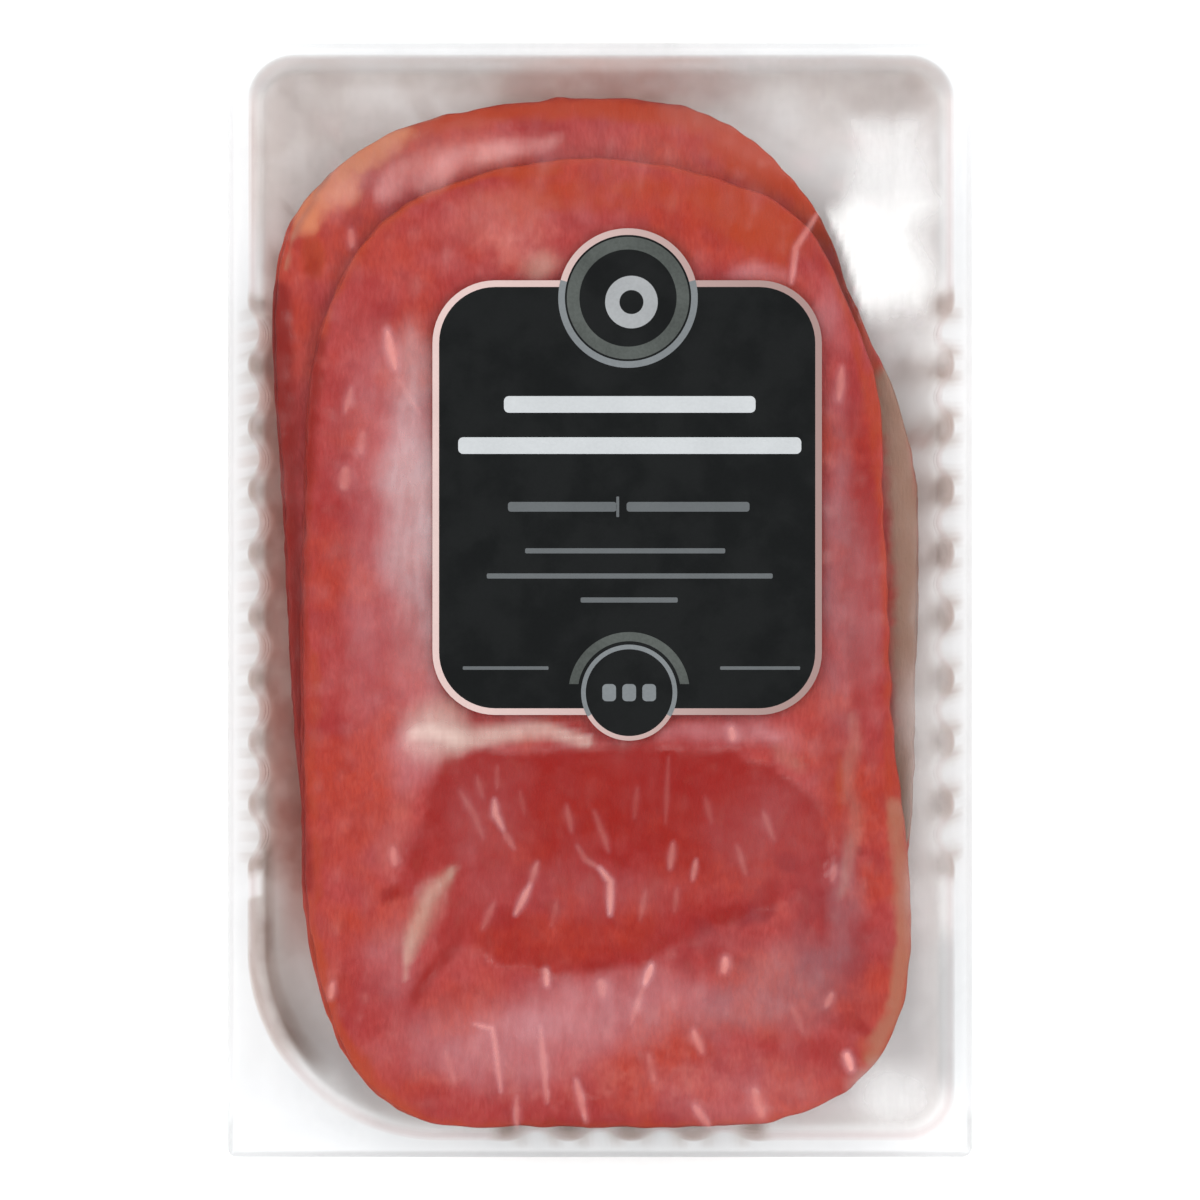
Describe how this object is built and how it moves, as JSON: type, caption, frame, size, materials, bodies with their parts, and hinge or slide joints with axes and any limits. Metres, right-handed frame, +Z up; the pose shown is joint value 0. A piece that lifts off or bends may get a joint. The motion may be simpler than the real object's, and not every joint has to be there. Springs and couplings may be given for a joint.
{
  "type": "pack of sliced cured pork loin",
  "caption": "Flat sealed pack: sliced cured pork loin in a shallow clear tray with fluted walls, under a clear film lid with a dark rounded label",
  "frame": {"origin": "middle of the pack's outline, on the surface that the tray lies on", "axes": "X across the pack, Y along it towards the far end, Z up out of the tray through the lid film"},
  "size_m": [0.13, 0.1946, 0.0128],
  "materials": {
    "clear_tray": "clear rigid formed plastic, glossy",
    "clear_film": "clear thin film, glossy, lightly wrinkled and slightly hazy",
    "label": "satin dark printed sticker with pale line and bars",
    "loin": "moist cured meat, red to rose, with an orange-brown smoked rim"
  },
  "bodies": {
    "root": {"tray": "clear_tray", "lid_film": "clear_film", "label": "label", "slice_1": "loin", "slice_2": "loin", "slice_3": "loin", "slice_4": "loin", "slice_5": "loin", "slice_6": "loin", "slice_7": "loin", "slice_8": "loin"}
  },
  "joints": []
}
